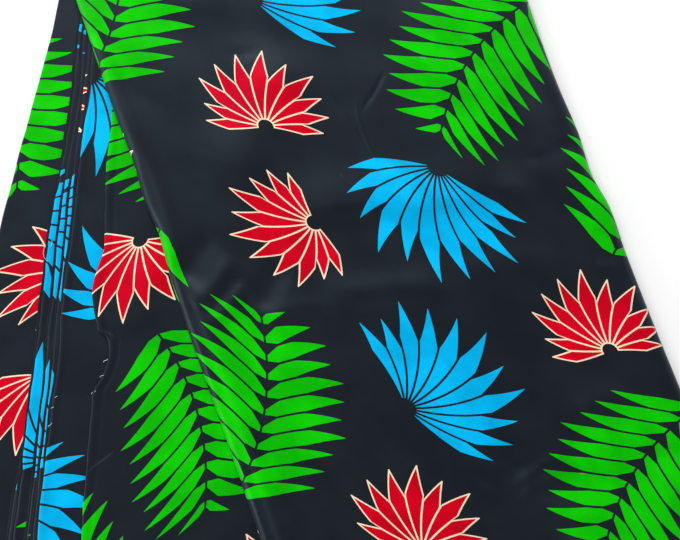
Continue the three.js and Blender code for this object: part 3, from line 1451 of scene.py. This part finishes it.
@dataclass(frozen=True)
class Yarn:
    """Pale undyed cotton yarn."""

    pale: tuple[float, float, float] = (0.72, 0.76, 0.78)
    worn: tuple[float, float, float] = (0.46, 0.50, 0.54)
    fleck_scale: float = 900.0
    bump: float = 0.3
    bump_distance: float = 0.0002
    roughness: float = 0.8
    specular: float = 0.2

    def build(self) -> bpy.types.Material:
        """Makes the material.

        Returns:
            The new material.
        """
        material = bpy.data.materials.new("undyed_yarn")
        material.use_nodes = True
        tree = material.node_tree
        shader = tree.nodes["Principled BSDF"]
        place = tree.nodes.new("ShaderNodeTexCoord")
        noise = tree.nodes.new("ShaderNodeTexNoise")
        noise.inputs["Scale"].default_value = self.fleck_scale
        tree.links.new(place.outputs["Object"], noise.inputs["Vector"])
        ramp = tree.nodes.new("ShaderNodeValToRGB")
        ramp.color_ramp.elements[0].color = (*self.worn, 1.0)
        ramp.color_ramp.elements[1].color = (*self.pale, 1.0)
        tree.links.new(noise.outputs["Fac"], ramp.inputs[0])
        tree.links.new(ramp.outputs[0], shader.inputs["Base Color"])
        bump = tree.nodes.new("ShaderNodeBump")
        bump.inputs["Strength"].default_value = self.bump
        bump.inputs["Distance"].default_value = self.bump_distance
        tree.links.new(noise.outputs["Fac"], bump.inputs["Height"])
        tree.links.new(bump.outputs["Normal"], shader.inputs["Normal"])
        shader.inputs["Roughness"].default_value = self.roughness
        shader.inputs["Specular IOR Level"].default_value = self.specular
        return material


@dataclass(frozen=True)
class PaleFloor:
    """The plain matt floor."""

    tone: tuple[float, float, float, float] = (0.97, 0.97, 0.97, 1.0)
    roughness: float = 0.9
    specular: float = 0.1

    def build(self) -> bpy.types.Material:
        """Makes the material.

        Returns:
            The new material.
        """
        material = bpy.data.materials.new("pale_floor")
        material.use_nodes = True
        shader = material.node_tree.nodes["Principled BSDF"]
        shader.inputs["Base Color"].default_value = self.tone
        shader.inputs["Roughness"].default_value = self.roughness
        shader.inputs["Specular IOR Level"].default_value = self.specular
        return material


@dataclass(frozen=True)
class Lamp:
    """A square soft light, with its place and side in metres and its power in watts."""

    name: str
    place: tuple[float, float, float]
    size: float
    power: float


@dataclass(frozen=True)
class Studio:
    """The pale floor, the soft lights and the camera.

    Places and distances are in metres, the tilt in radians, and the lens and its sensor in
    millimetres.
    """

    target: tuple[float, float, float]
    distance: float = 1.3
    tilt: float = math.radians(9.52)
    lens: float = 75.32
    sensor: float = 36.0
    sky: float = 0.12
    floor_size: float = 8.0
    floor_level: float = -0.0004
    lamps: tuple[Lamp, ...] = (
        Lamp("Key", (-0.8, 2.5, 1.5), 0.8, 82.0),
        Lamp("Side", (2.3, 1.3, 1.7), 1.0, 18.0),
        Lamp("Window", (-2.3, 0.9, 1.9), 1.2, 18.0),
        Lamp("Fill", (0.4, -2.5, 1.5), 1.9, 48.0),
        Lamp("Rim", (-2.6, -0.6, 0.7), 1.0, 34.0),
    )

    def build(self) -> None:
        """Makes the floor, the lights, the sky and the camera."""
        self.floor()
        for lamp in self.lamps:
            self.light(lamp)
        world = bpy.data.worlds.new("Studio")
        world.use_nodes = True
        background = world.node_tree.nodes["Background"]
        background.inputs["Color"].default_value = (1.0, 1.0, 1.0, 1.0)
        background.inputs["Strength"].default_value = self.sky
        bpy.context.scene.world = world
        bpy.context.scene.view_settings.view_transform = "Standard"
        self.camera()

    def floor(self) -> None:
        """Makes the floor just under the cloth."""
        bpy.ops.mesh.primitive_plane_add(size=self.floor_size, location=(0, 0, self.floor_level))
        floor = bpy.context.object
        floor.name = "floor"
        floor.data.materials.append(PaleFloor().build())

    def light(self, lamp: Lamp) -> None:
        """Adds a light that faces the cloth.

        Args:
            lamp: The light's place, size and power.
        """
        data = bpy.data.lights.new(lamp.name, "AREA")
        data.size = lamp.size
        data.energy = lamp.power
        light = bpy.data.objects.new(lamp.name, data)
        bpy.context.scene.collection.objects.link(light)
        light.location = lamp.place
        away = Vector(lamp.place) - Vector(self.target)
        light.rotation_euler = away.to_track_quat("Z", "Y").to_euler()

    def camera(self) -> None:
        """Makes the camera, which looks down with a slight tilt from the near side."""
        data = bpy.data.cameras.new("Camera")
        data.lens = self.lens
        data.sensor_width = self.sensor
        camera = bpy.data.objects.new("Camera", data)
        bpy.context.scene.collection.objects.link(camera)
        back = Vector((0, -math.sin(self.tilt), math.cos(self.tilt))) * self.distance
        camera.location = Vector(self.target) + back
        camera.rotation_euler = (self.tilt, 0, 0)
        bpy.context.scene.camera = camera


def declare_sheets(
    pack: FoldedPack,
    front: tuple[FrontPanel, bpy.types.Object],
    core: tuple[FoldedCore, bpy.types.Object],
    layers: list[tuple[FoldedLayer, bpy.types.Object]],
) -> None:
    """Works out the flat size of each sheet, and keeps none of it.

    Args:
        pack: Sizes of the folded cloth.
        front: The top sheet of the right leg with its object.
        core: The hidden layers of the right leg with their object.
        layers: Layers of the left leg with their objects, from the table up.
    """
    length = pack.length / 2 * MM
    for layer, piece in layers:
        flat = (layer.flat_width, length)
    front_sheet, front_piece = front
    core_cloth, core_piece = core
    flat = (front_sheet.flat_width, length)
    core_cloth.flat_width


def main() -> None:
    """Builds the fabric, dresses it and sets up the studio."""
    logging.basicConfig(level=logging.INFO, format="%(name)s: %(message)s")
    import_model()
    pack = FoldedPack()
    cotton = WaxPrint().build()
    front = FrontPanel(pack)
    front_piece = front.build()
    dress(front_piece, cotton, ("front_panel",))
    LOG.info("front panel: %d faces", len(front_piece.data.polygons))
    core = FoldedCore(pack, front)
    core_piece = core.build()
    dress(core_piece, cotton, ("folded_core",))
    LOG.info("folded core: %d faces", len(core_piece.data.polygons))
    layers = []
    for layer in left_layers(pack):
        piece = layer.build()
        dress(piece, cotton, (layer.node,))
        layers.append((layer, piece))
        LOG.info("%s: %d faces", layer.node, len(piece.data.polygons))
    threads = LooseThreads(pack).build()
    dress(threads, Yarn().build(), ())
    LOG.info("loose threads: %d faces", len(threads.data.polygons))
    declare_sheets(pack, (front, front_piece), (core, core_piece), layers)
    target = (pack.origin[0] + AIM[0], pack.origin[1] + AIM[1], AIM[2])
    Studio(tuple(part * MM for part in target)).build()


if __name__ == "__main__":
    main()
